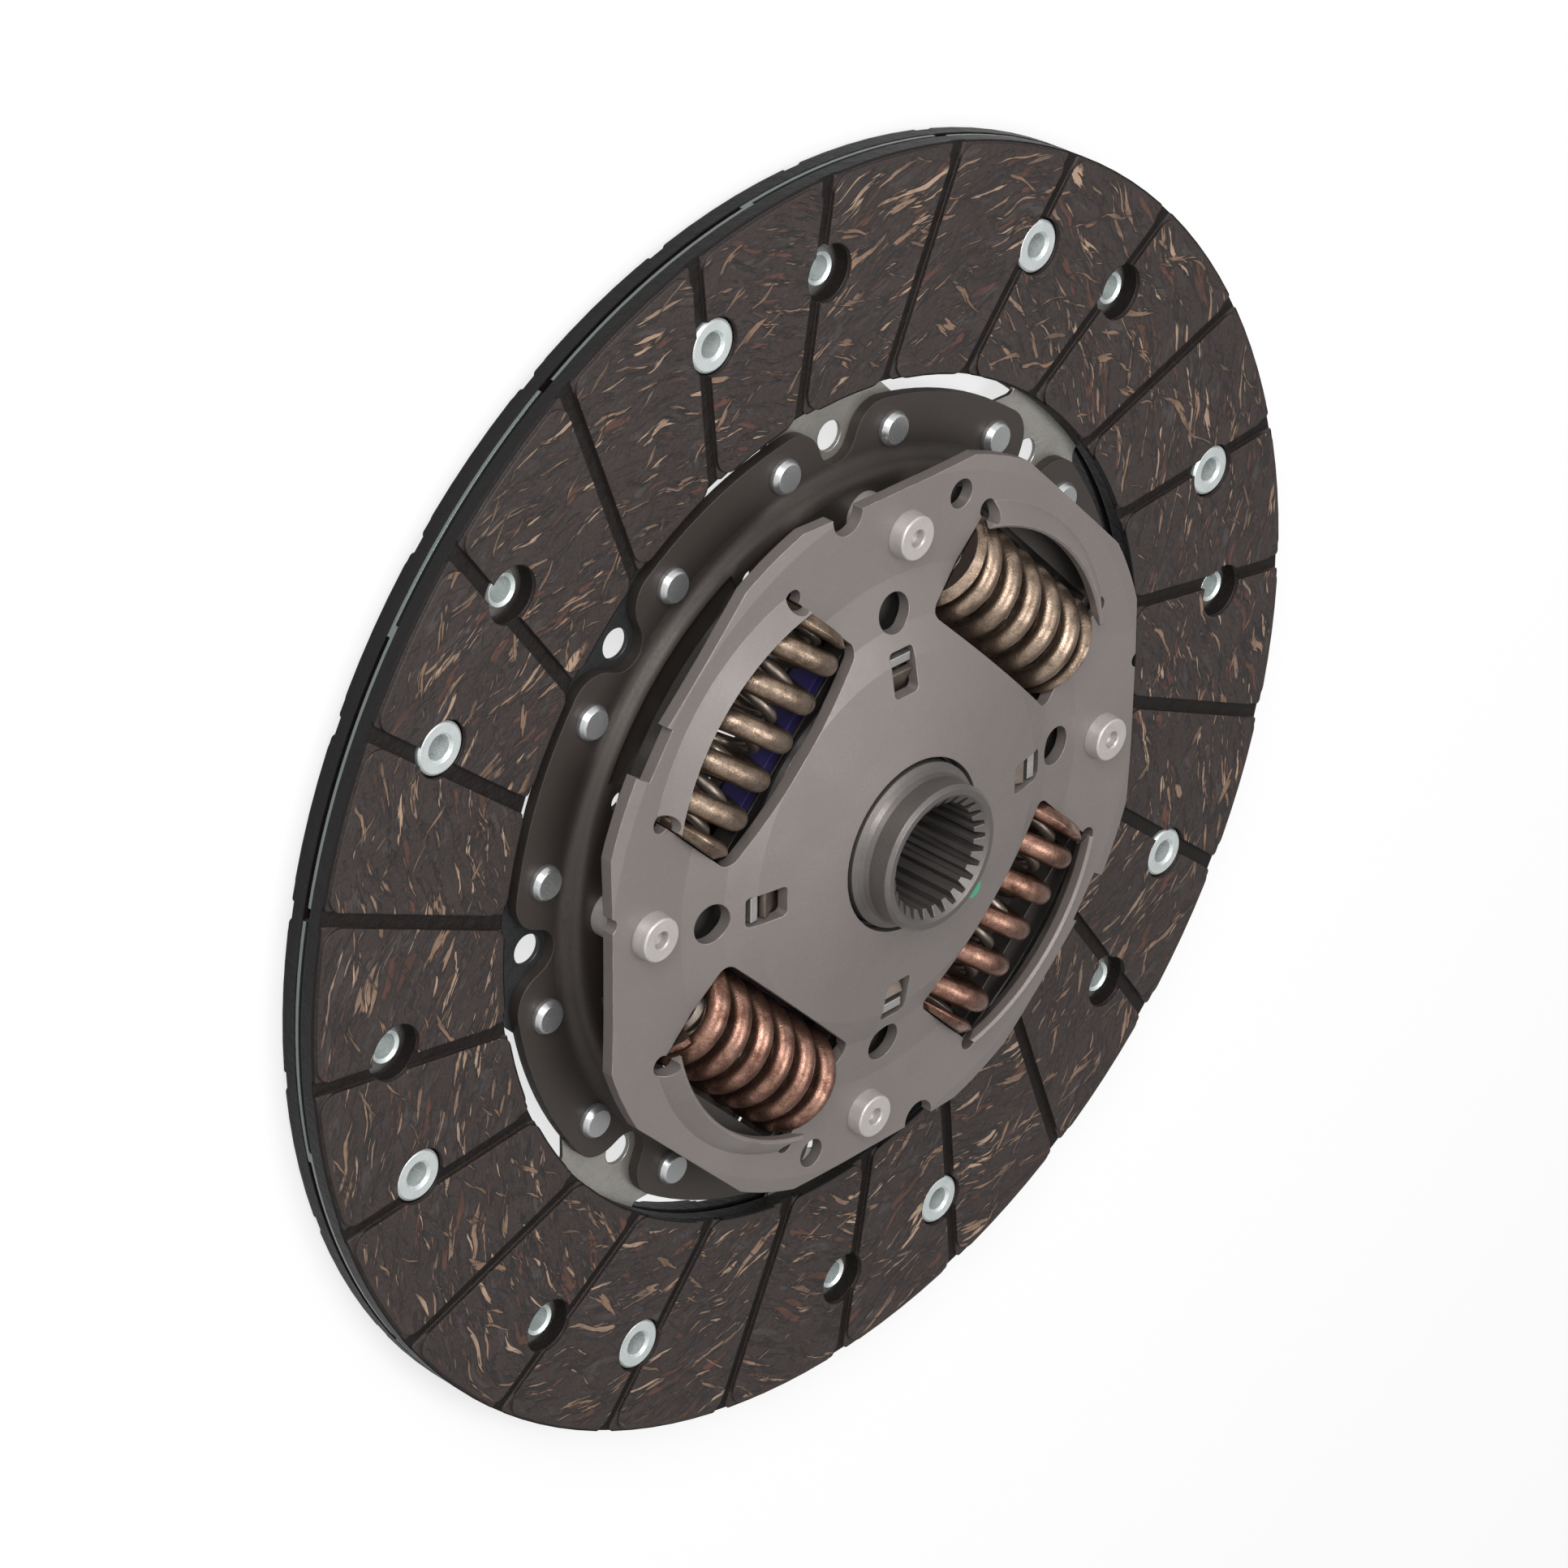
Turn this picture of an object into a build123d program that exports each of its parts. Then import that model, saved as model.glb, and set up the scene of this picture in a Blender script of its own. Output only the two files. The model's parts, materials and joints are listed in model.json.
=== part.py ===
import os
from math import asin, cos, radians, sin, sqrt

from build123d import *

os.makedirs("parts", exist_ok=True)

# All lengths in mm and all heights above the flywheel side face
# Main springs and their windows
spring_r = 42.4
spring_len = 40.6
spring_od = 19.5
spring_wire = 4.0
spring_pitch = 6.9
spring_clear = 0.35
inner_spring_od = 11.0
inner_spring_wire = 2.2
inner_spring_pitch = 5.0
inner_spring_len = 38.0
window_inner = spring_r - 9.8
window_half = spring_len / 2 + 0.2
lip_centre = 18.0
lip_inner_r = spring_r + 12.9 - lip_centre
lip_outer_r = lip_inner_r + 3.7
lip_h = 2.9
plate_window_r = spring_r + 9.6
pressed_r = plate_window_r + 7.6
pressed_deg = 18.6
pressed_h = 1.0
window_corner_r = 2.2
relief_d = 3.5
relief_u = spring_r + 9.8
relief_v = window_half - 0.2
hub_window_outer = spring_r + 10.5
tab_outer = spring_r - spring_od / 2 - 0.75
tab_inner = tab_outer - 1.8
hub_window_inner = tab_inner - 0.2

# Stop rivets and hub flange
travel_deg = 9.0
stop_rivet_r = spring_r + 11.4
stop_rivet_deg = 86.5
stop_shank_d = 8.0
stop_neck_d = 6.0
stop_neck_clear = 0.04
stop_head_d = 8.2
stop_head_top_d = 7.4
stop_head_h = 2.65
hub_flange_t = 4.0
hub_flange_r = stop_rivet_r + 4.7

# Outline of the drive plate, from the damper outwards
plate_t = 2.0
plateau_h = 2.85
wall_in_r = stop_rivet_r + 6.0
wall_out_r = wall_in_r + 2.1
wall_mid_r = (wall_in_r + wall_out_r) / 2
wall_bend = 2.3
plate_bore_r = tab_inner - 2.6
segment_rivet_r = wall_out_r + 4.3
segment_rivet_deg = 10.8
segment_rivet_d = 4.2
segment_head_d = 6.1
segment_head_top_d = 5.0
segment_head_h = 1.6
segment_hole_r = wall_out_r + 5.2
segment_hole_d = 5.3
lobe_r = wall_out_r + 9.8
lobe_corner_r = 6.0
notch_r = 4.1
notch_set = 1.6
notch_mouth = 7.2

# Friction facings
facing_gap = 3.3
facing_inner_r = lobe_r + facing_gap
facing_outer_r = 114.0
facing_t = 3.35
block_h = 1.0
block_rise = 0.55
block_inset = 0.5
groove_count = 24
groove_w = 2.5
groove_offset = 21.8
groove_start_deg = -9.1
foot_corner_r = 0.8
block_corner_r = 3.0

# Cushion segments between the facings
segment_count = 8
segment_t = 0.7
segment_inner_r = wall_out_r + 0.5
foot_deg = 14.2
foot_r = lobe_r - 2.1
neck_deg = 6.6
neck_corner_r = 1.5
shoulder_deg = 18.6
shoulder_r = facing_inner_r + 1.2
high_strip_r = facing_inner_r + 3.5
low_strip_r = facing_inner_r + 2.0
paddle_from_deg = -12.1
paddle_to_deg = 31.7
paddle_step_deg = 9.8
paddle_outer_r = facing_outer_r - 0.1

# Facing rivets
rivet_inset = 16.15
facing_rivet_r = facing_outer_r - rivet_inset
low_rivet_deg = 2.3
high_rivet_deg = 17.3
rivet_flange_d = 9.0
rivet_flange_t = 1.0
rivet_seat_depth = 1.5
rivet_seat_d = rivet_flange_d + 0.8
rivet_shank_d = 5.1
rivet_bore_d = 4.25
rolled_end_h = 1.7
rolled_end_d = 6.8
rolled_crest_d = 5.5

# Heights of the stack
low_z = facing_t
mid_z = low_z + segment_t
high_z = mid_z + segment_t
front_z = high_z
face_z = front_z + facing_t
flange_z = high_z + plate_t
plateau_z = flange_z + plateau_h
spring_z = plateau_z + 4.15
hub_flange_z = spring_z - hub_flange_t / 2

# Hub
hub_bottom_z = 1.0
hub_reach = 18.15
hub_top_z = spring_z + hub_reach
spline_count = 26
spline_minor_r = 9.35
spline_major_r = spline_minor_r + 1.45
gear_count = 12
gear_root_r = 14.4
gear_tip_r = gear_root_r + 2.2
gear_deg = 12.0
flange_tooth_deg = 9.0
gear_clear = 0.3
collar_r = gear_root_r + 0.2
tube_r = collar_r - 1.65
rear_r = gear_root_r - 0.8
collar_top_z = spring_z + 11.85
collar_foot_z = hub_flange_z + hub_flange_t + 0.45

# Retainer plate
retainer_t = 2.2
retainer_flat_z = spring_z + 5.3
retainer_rim_r = stop_rivet_r + 11.2
retainer_bend_r = retainer_rim_r - 2.5
side_flat = stop_rivet_r + 8.1
corner_flat = stop_rivet_r + 9.0
cone_outer_r = spring_r + 4.6
cone_bend_r = spring_r - 3.9
cone_shoulder_r = spring_r - 9.4
retainer_bore_r = collar_r + 0.8
notch_deg = 99.5
notch_size_r = 3.3
nick_deg = 7.4
nick_r = 1.4
round_hole_d = 7.0
round_hole_r = spring_r - 1.5
small_hole_d = 5.2
small_hole_r = stop_rivet_r + 4.7
small_hole_deg = 74.0
slot_len = 7.8
slot_w = 5.5
slot_r = spring_r - 11.4

# Idle damper on the flywheel side
idle_travel_deg = 4.0
cage_top_z = hub_flange_z
cage_step_z = plateau_z + 0.3
cage_bottom_z = cage_step_z - 2.3
cage_bore_r = rear_r + 1.7
cage_r = plate_bore_r - 1.2
cage_flange_r = cage_r + 3.2
tab_half = window_half - 6.0
tab_top_z = hub_flange_z + hub_flange_t - 0.45
idle_spring_z = cage_bottom_z - 0.95
idle_spring_r = cage_r - 6.1
idle_spring_od = 5.6
idle_spring_wire = 0.9
idle_spring_pitch = 1.9
idle_spring_len = 10.2
idle_window_half = idle_spring_len / 2 + 0.2
idle_plate_t = 1.5
idle_plate_z = idle_spring_z - idle_plate_t / 2
idle_plate_r = cage_r - 1.3
cover_z = cage_bottom_z - 3.0
cover_t = 1.1
cover_r = cage_r
idle_rivet_r = idle_spring_r + 0.8
idle_rivet_d = 3.2

# Friction parts on the gearbox side
friction_gap = 0.2
friction_inner_r = gear_tip_r + 0.9
friction_outer_r = tab_inner - 0.6
friction_t = 1.2
support_t = 1.3
support_inner_r = friction_inner_r + 1.0
support_outer_r = friction_outer_r + 1.0
tongue_w = slot_w - 0.9
support_tab_r = slot_r + 1.2
support_tab_t = 1.5
support_tab_top_z = retainer_flat_z + 2.45
disc_spring_t = 0.9
disc_spring_inner_r = support_inner_r + 1.3
disc_spring_outer_r = friction_outer_r - 0.9
bush_r = collar_r + 0.3
bush_outer_r = disc_spring_inner_r - 0.8
bush_z = retainer_flat_z + 0.65
bush_top_z = retainer_flat_z + 3.25


def polar(r, deg):
    return (r * cos(radians(deg)), r * sin(radians(deg)))


low_rivets = [polar(facing_rivet_r, low_rivet_deg + 45 * k) for k in range(segment_count)]
high_rivets = [polar(facing_rivet_r, high_rivet_deg + 45 * k) for k in range(segment_count)]


def groove_edge(r, deg, side):
    offset = groove_offset + side * groove_w / 2
    run = sqrt(r**2 - offset**2)
    a = radians(deg)
    return (run * cos(a) - offset * sin(a), run * sin(a) + offset * cos(a))


# Blocks of a facing between its slanted grooves, out to the given radius
pitch_deg = 360 / groove_count


def facing_blocks(outer_r, corner_r):
    a = groove_edge(facing_inner_r, groove_start_deg, 1)
    b = groove_edge(outer_r, groove_start_deg, 1)
    c = groove_edge(outer_r, groove_start_deg + pitch_deg, -1)
    d = groove_edge(facing_inner_r, groove_start_deg + pitch_deg, -1)
    with BuildSketch() as block:
        with BuildLine():
            Line(a, b)
            RadiusArc(b, c, -outer_r)
            Line(c, d)
            RadiusArc(d, a, facing_inner_r)
        make_face()
        fillet(block.vertices(), corner_r)
    with BuildSketch() as blocks:
        with PolarLocations(0, groove_count):
            add(block.sketch)
    return blocks.sketch


# Facing on the gearbox side
with BuildPart() as facing_gearbox_side:
    with BuildSketch(Plane.XY.offset(front_z)):
        Circle(facing_outer_r)
        Circle(facing_inner_r, mode=Mode.SUBTRACT)
    extrude(amount=facing_t - block_h)
    with BuildSketch(Plane.XY.offset(face_z - block_h)):
        add(facing_blocks(facing_outer_r, foot_corner_r))
    extrude(amount=block_h - block_rise)
    with BuildSketch(Plane.XY.offset(face_z - block_rise)):
        add(facing_blocks(facing_outer_r - block_inset, block_corner_r))
    extrude(amount=block_rise)
    with BuildSketch(Plane.XY.offset(front_z)):
        with Locations(*low_rivets):
            Circle(rivet_seat_d / 2)
        with Locations(*high_rivets):
            Circle(rivet_shank_d / 2)
    extrude(amount=facing_t, mode=Mode.SUBTRACT)
    with BuildSketch(Plane.XY.offset(face_z - rivet_seat_depth)):
        with Locations(*high_rivets):
            Circle(rivet_seat_d / 2)
    extrude(amount=rivet_seat_depth, mode=Mode.SUBTRACT)
facing_gearbox_side.part.label = "facing_gearbox_side"
export_step(facing_gearbox_side.part, "parts/facing_gearbox_side.step")

# The same facing turned over on the flywheel side, so that its seats meet the low rivets
with BuildPart() as facing_flywheel_side:
    with Locations(Location((0, 0, 0), (0, 0, low_rivet_deg + high_rivet_deg))):
        with Locations(Location((0, 0, face_z), (180, 0, 0))):
            add(facing_gearbox_side.part)
facing_flywheel_side.part.label = "facing_flywheel_side"
export_step(facing_flywheel_side.part, "parts/facing_flywheel_side.step")

# Tubular rivets that hold the gearbox side facing
with BuildPart() as high_rivet:
    with BuildSketch(Plane.XZ):
        with BuildLine():
            Polyline(
                (rivet_bore_d / 2, mid_z - rolled_end_h + 0.4),
                (rolled_crest_d / 2, mid_z - rolled_end_h),
                (rolled_end_d / 2, mid_z - 0.6),
                (rolled_end_d / 2, mid_z),
                (rivet_shank_d / 2, mid_z),
                (rivet_shank_d / 2, face_z - rivet_seat_depth),
                (rivet_flange_d / 2, face_z - rivet_seat_depth),
                (rivet_flange_d / 2, face_z - rivet_seat_depth + rivet_flange_t - 0.3),
                (rivet_flange_d / 2 - 0.4, face_z - rivet_seat_depth + rivet_flange_t),
                (rivet_bore_d / 2 + 0.4, face_z - rivet_seat_depth + rivet_flange_t),
                (rivet_bore_d / 2, face_z - rivet_seat_depth + rivet_flange_t - 0.5),
                close=True,
            )
        make_face()
    revolve(axis=Axis.Z)

with BuildPart() as facing_rivets_gearbox_side:
    with Locations(*high_rivets):
        add(high_rivet.part)
facing_rivets_gearbox_side.part.label = "facing_rivets_gearbox_side"
export_step(facing_rivets_gearbox_side.part, "parts/facing_rivets_gearbox_side.step")

# The same rivets turned over hold the flywheel side facing
with BuildPart() as facing_rivets_flywheel_side:
    with Locations(*[Location((x, y, face_z), (180, 0, 0)) for x, y in low_rivets]):
        add(high_rivet.part)
facing_rivets_flywheel_side.part.label = "facing_rivets_flywheel_side"
export_step(facing_rivets_flywheel_side.part, "parts/facing_rivets_flywheel_side.step")

# Cushion segments: neck and outer half high, inner half of the paddle low
with BuildPart() as segment:
    with BuildSketch(Plane.XY.offset(mid_z)) as high_sheet:
        with BuildLine():
            a = polar(segment_inner_r, -foot_deg)
            b = polar(segment_inner_r, foot_deg)
            c = polar(foot_r, foot_deg)
            d = polar(shoulder_r, neck_deg)
            e = polar(shoulder_r, shoulder_deg)
            f = polar(paddle_outer_r, paddle_to_deg)
            g = polar(paddle_outer_r, paddle_step_deg - 1)
            h = polar(high_strip_r, paddle_step_deg - 1)
            i = polar(high_strip_r, -shoulder_deg)
            j = polar(shoulder_r, -shoulder_deg)
            k = polar(shoulder_r, -neck_deg)
            l = polar(foot_r, -foot_deg)
            RadiusArc(a, b, -segment_inner_r)
            Line(b, c)
            Line(c, d)
            RadiusArc(d, e, -shoulder_r)
            Line(e, f)
            RadiusArc(f, g, paddle_outer_r)
            Line(g, h)
            RadiusArc(h, i, high_strip_r)
            Line(i, j)
            RadiusArc(j, k, -shoulder_r)
            Line(k, l)
            Line(l, a)
        make_face()
        neck = [high_sheet.vertices().sort_by_distance((*point, 0))[0] for point in (d, k)]
        fillet(neck, neck_corner_r)
    extrude(amount=segment_t)
    with BuildSketch(Plane.XY.offset(low_z)):
        with BuildLine():
            q = polar(low_strip_r, -shoulder_deg + 0.4)
            r = polar(low_strip_r, paddle_step_deg)
            t = polar(paddle_outer_r, paddle_step_deg)
            u = polar(paddle_outer_r, paddle_from_deg)
            RadiusArc(q, r, -low_strip_r)
            Line(r, t)
            RadiusArc(t, u, paddle_outer_r)
            Line(u, q)
        make_face()
    extrude(amount=segment_t)
    with BuildSketch(Plane.XY.offset(low_z)):
        with Locations(polar(segment_hole_r, 0)):
            Circle(segment_hole_d / 2)
        with Locations(polar(segment_rivet_r, segment_rivet_deg), polar(segment_rivet_r, -segment_rivet_deg)):
            Circle(segment_rivet_d / 2)
        with Locations(polar(facing_rivet_r, low_rivet_deg), polar(facing_rivet_r, high_rivet_deg)):
            Circle(rivet_shank_d / 2)
    extrude(amount=2 * segment_t, mode=Mode.SUBTRACT)

for k in range(segment_count):
    with BuildPart() as cushion_segment:
        with Locations(Location((0, 0, 0), (0, 0, 45 * k))):
            add(segment.part)
    cushion_segment.part.label = f"cushion_segment_{k + 1}"
    export_step(cushion_segment.part, f"parts/cushion_segment_{k + 1}.step")

# Outline of a spring window, with its outer edge round the given centre
def window_outline(centre, outer_r):
    with BuildSketch() as outline:
        with Locations((centre, 0)):
            Circle(outer_r)
        with Locations((window_inner + outer_r, 0)):
            Rectangle(2 * outer_r, 2 * window_half, mode=Mode.INTERSECT)
        fillet([v for v in outline.vertices() if v.X < window_inner + 1], window_corner_r)
    return outline.sketch


# Strip outside each drive plate window that is pressed towards the flywheel
with BuildSketch() as pressed_strip:
    Circle(pressed_r)
    Circle(plate_window_r, mode=Mode.SUBTRACT)
    Polygon(
        (0, 0),
        polar(2 * pressed_r, -pressed_deg),
        polar(2 * pressed_r, pressed_deg),
        align=None,
        mode=Mode.INTERSECT,
    )

# Drive plate: outer flange, soft bend, raised middle and four windows
notch_side = sqrt(notch_r**2 - notch_set**2)
with BuildPart() as drive_plate:
    with BuildSketch(Plane.XZ):
        with BuildLine():
            bend_z = (plateau_z + flange_z) / 2
            top_in = (wall_mid_r - wall_bend, plateau_z)
            top_mid = (wall_mid_r, bend_z)
            top_out = (wall_mid_r + wall_bend, flange_z)
            low_in = (top_in[0] - 1.3, plateau_z - plate_t)
            low_mid = (top_mid[0] - 1.3, bend_z - plate_t)
            low_out = (top_out[0] - 1.3, high_z)
            Polyline(low_in, (plate_bore_r, plateau_z - plate_t), (plate_bore_r, plateau_z), top_in)
            TangentArc(top_in, top_mid, tangent=(1, 0))
            TangentArc(top_out, top_mid, tangent=(-1, 0))
            Polyline(top_out, (lobe_r, flange_z), (lobe_r, high_z), low_out)
            TangentArc(low_out, low_mid, tangent=(-1, 0))
            TangentArc(low_in, low_mid, tangent=(1, 0))
        make_face()
    revolve(axis=Axis.Z)
    with BuildSketch(Plane.XY.offset(high_z)) as lobes:
        Circle(lobe_r)
        for k in range(segment_count):
            with Locations(Location((0, 0, 0), (0, 0, 45 * k))):
                with Locations((segment_hole_r, 0)):
                    Circle(notch_r, mode=Mode.SUBTRACT)
                Polygon(
                    (segment_hole_r - notch_set, -notch_side),
                    (lobe_r + 2, -notch_mouth),
                    (lobe_r + 2, notch_mouth),
                    (segment_hole_r - notch_set, notch_side),
                    align=None,
                    mode=Mode.SUBTRACT,
                )
        outer_corners = [v for v in lobes.vertices() if Vector(v.X, v.Y, 0).length > lobe_r - 0.5]
        fillet(outer_corners, lobe_corner_r)
    extrude(amount=plateau_z - high_z, mode=Mode.INTERSECT)
    with BuildSketch(Plane.XY.offset(plateau_z - plate_t - pressed_h)):
        with PolarLocations(0, 4, start_angle=45):
            add(pressed_strip.sketch)
    extrude(amount=plate_t)
    with BuildSketch(Plane.XY.offset(plateau_z - pressed_h)):
        with PolarLocations(0, 4, start_angle=45):
            add(pressed_strip.sketch)
    extrude(amount=pressed_h, mode=Mode.SUBTRACT)
    with BuildSketch(Plane.XY.offset(plateau_z - plate_t)):
        with PolarLocations(0, 4, start_angle=45):
            add(window_outline(0, plate_window_r))
    extrude(amount=plate_t, mode=Mode.SUBTRACT)
    with Locations(*[Location((0, 0, spring_z), (0, 0, 45 + 90 * k)) for k in range(4)]):
        with Locations(Location((spring_r, 0, 0), (90, 0, 0))):
            Cylinder(spring_od / 2 + spring_clear, 2 * window_half, mode=Mode.SUBTRACT)
    with BuildSketch(Plane.XY.offset(high_z)):
        with PolarLocations(0, 4, start_angle=45):
            with Locations((relief_u, relief_v), (relief_u, -relief_v)):
                Circle(relief_d / 2)
        with PolarLocations(stop_rivet_r, 4, start_angle=stop_rivet_deg):
            Circle(stop_neck_d / 2 + stop_neck_clear)
        with PolarLocations(segment_rivet_r, segment_count, start_angle=segment_rivet_deg):
            Circle(segment_rivet_d / 2 + 0.02)
        with PolarLocations(segment_rivet_r, segment_count, start_angle=-segment_rivet_deg):
            Circle(segment_rivet_d / 2 + 0.02)
    extrude(amount=plateau_z - high_z, mode=Mode.SUBTRACT)
drive_plate.part.label = "drive_plate"
export_step(drive_plate.part, "parts/drive_plate.step")

# Rivets that hold the segments on the drive plate
with BuildPart() as segment_rivet:
    with BuildSketch(Plane.XZ):
        with BuildLine():
            Polyline(
                (0, high_z - segment_t - 1.4),
                (segment_head_top_d / 2, high_z - segment_t - 1.4),
                (segment_head_d / 2, high_z - segment_t - 0.5),
                (segment_head_d / 2, high_z - segment_t),
                (segment_rivet_d / 2, high_z - segment_t),
                (segment_rivet_d / 2, flange_z),
                (segment_head_d / 2, flange_z),
                (segment_head_d / 2 - 0.05, flange_z + 0.7),
                (segment_head_top_d / 2 + 0.15, flange_z + segment_head_h - 0.25),
                (segment_head_top_d / 2 - 0.1, flange_z + segment_head_h),
                (0, flange_z + segment_head_h),
                close=True,
            )
        make_face()
    revolve(axis=Axis.Z)

with BuildPart() as segment_rivets:
    with PolarLocations(segment_rivet_r, segment_count, start_angle=segment_rivet_deg):
        add(segment_rivet.part)
    with PolarLocations(segment_rivet_r, segment_count, start_angle=-segment_rivet_deg):
        add(segment_rivet.part)
segment_rivets.part.label = "segment_rivets"
export_step(segment_rivets.part, "parts/segment_rivets.step")

# Lip bent up along the outer edge of a retainer window
with BuildPart() as lip:
    with BuildSketch(Plane.XZ):
        with BuildLine():
            Polyline(
                (lip_outer_r + 1.0, 0),
                (lip_outer_r, 0),
                (lip_inner_r + 0.5, lip_h),
                (lip_inner_r, lip_h - 0.4),
                (lip_inner_r, lip_h - plate_t),
                (lip_outer_r - 1.0, -plate_t),
                (lip_outer_r + 1.0, -plate_t),
                close=True,
            )
        make_face()
    revolve(axis=Axis.Z)
    with BuildSketch(Plane.XY.offset(-plate_t - 1)):
        with Locations((lip_outer_r, 0)):
            Rectangle(2 * lip_outer_r, 2 * relief_v)
    extrude(amount=lip_h + plate_t + 2, mode=Mode.INTERSECT)

# Retainer plate: flat ring round the windows and a raised cone round the hub
cone_foot_z = retainer_flat_z + 1.15
cone_mid_z = retainer_flat_z + 3.15
cone_top_z = retainer_flat_z + 6.35
rim_z = retainer_flat_z - 0.35
with BuildPart() as retainer_plate:
    with BuildSketch(Plane.XZ):
        with BuildLine():
            Polyline(
                (retainer_bore_r, cone_top_z),
                (cone_shoulder_r, cone_mid_z),
                (cone_bend_r, cone_foot_z),
                (cone_outer_r, retainer_flat_z),
                (retainer_bend_r, retainer_flat_z),
                (retainer_rim_r, rim_z),
                (retainer_rim_r, rim_z - retainer_t),
                (retainer_bend_r, retainer_flat_z - retainer_t),
                (cone_outer_r, retainer_flat_z - retainer_t),
                (cone_bend_r, cone_foot_z - retainer_t),
                (cone_shoulder_r, cone_mid_z - retainer_t),
                (retainer_bore_r, cone_top_z - retainer_t),
                close=True,
            )
        make_face()
    revolve(axis=Axis.Z)
    with BuildSketch(Plane.XY.offset(rim_z - retainer_t)):
        Circle(retainer_rim_r)
        Rectangle(2 * side_flat, 2 * side_flat, mode=Mode.INTERSECT)
        Rectangle(2 * corner_flat, 2 * corner_flat, rotation=45, mode=Mode.INTERSECT)
        with PolarLocations(side_flat + 0.5, 2, start_angle=notch_deg):
            Circle(notch_size_r, mode=Mode.SUBTRACT)
        with Locations(polar(side_flat + 1.0, nick_deg), polar(side_flat + 1.0, 180 - nick_deg)):
            Circle(nick_r, mode=Mode.SUBTRACT)
        with PolarLocations(corner_flat + 4.1, 2, start_angle=146):
            Rectangle(10, 9, mode=Mode.SUBTRACT)
    extrude(amount=cone_top_z - rim_z + retainer_t, mode=Mode.INTERSECT)
    with BuildSketch(Plane.XY.offset(rim_z - retainer_t)):
        with PolarLocations(0, 4, start_angle=45):
            add(window_outline(lip_centre, lip_outer_r))
    extrude(amount=cone_top_z - rim_z + retainer_t, mode=Mode.SUBTRACT)
    with Locations(*[Location((0, 0, retainer_flat_z), (0, 0, 45 + 90 * k)) for k in range(4)]):
        with Locations((lip_centre, 0, 0)):
            add(lip.part)
    with Locations(*[Location((0, 0, spring_z), (0, 0, 45 + 90 * k)) for k in range(4)]):
        with Locations(Location((spring_r, 0, 0), (90, 0, 0))):
            Cylinder(spring_od / 2 + spring_clear, 2 * window_half, mode=Mode.SUBTRACT)
    with BuildSketch(Plane.XY.offset(rim_z - retainer_t)):
        with PolarLocations(0, 4, start_angle=45):
            with Locations((relief_u, relief_v), (relief_u, -relief_v)):
                Circle(relief_d / 2)
        with PolarLocations(stop_rivet_r, 4, start_angle=stop_rivet_deg):
            Circle(stop_neck_d / 2 + stop_neck_clear)
        with PolarLocations(round_hole_r, 4):
            Circle(round_hole_d / 2)
        with PolarLocations(small_hole_r, 2, start_angle=small_hole_deg):
            Circle(small_hole_d / 2)
        with PolarLocations(slot_r, 4):
            RectangleRounded(slot_len, slot_w, 0.9)
    extrude(amount=cone_top_z - rim_z + retainer_t, mode=Mode.SUBTRACT)
retainer_plate.part.label = "retainer_plate"
export_step(retainer_plate.part, "parts/retainer_plate.step")

# Stop rivets tie the two plates together and limit the travel of the hub flange
with BuildPart() as stop_rivet:
    with BuildSketch(Plane.XZ):
        with BuildLine():
            Polyline(
                (0, plateau_z - plate_t - 2.2),
                (stop_head_top_d / 2, plateau_z - plate_t - 2.2),
                (stop_head_d / 2, plateau_z - plate_t - 1.2),
                (stop_head_d / 2, plateau_z - plate_t - 0.4),
                (stop_head_d / 2 - 0.7, plateau_z - plate_t),
                (stop_neck_d / 2, plateau_z - plate_t),
                (stop_neck_d / 2, plateau_z),
                (stop_shank_d / 2, plateau_z),
                (stop_shank_d / 2, retainer_flat_z - retainer_t),
                (stop_neck_d / 2, retainer_flat_z - retainer_t),
                (stop_neck_d / 2, retainer_flat_z),
                (stop_head_d / 2, retainer_flat_z),
                (stop_head_top_d / 2 + 0.1, retainer_flat_z + stop_head_h - 0.2),
                (stop_head_top_d / 2 - 0.1, retainer_flat_z + stop_head_h),
                (1.6, retainer_flat_z + stop_head_h),
                (1.45, retainer_flat_z + stop_head_h - 0.3),
                (1.45, retainer_flat_z + stop_head_h - 1.6),
                (0, retainer_flat_z + stop_head_h - 1.6),
                close=True,
            )
        make_face()
    revolve(axis=Axis.Z)

for k in range(4):
    with BuildPart() as stop_rivet_k:
        with Locations(polar(stop_rivet_r, stop_rivet_deg + 90 * k)):
            add(stop_rivet.part)
    stop_rivet_k.part.label = f"stop_rivet_{k + 1}"
    export_step(stop_rivet_k.part, f"parts/stop_rivet_{k + 1}.step")

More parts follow.
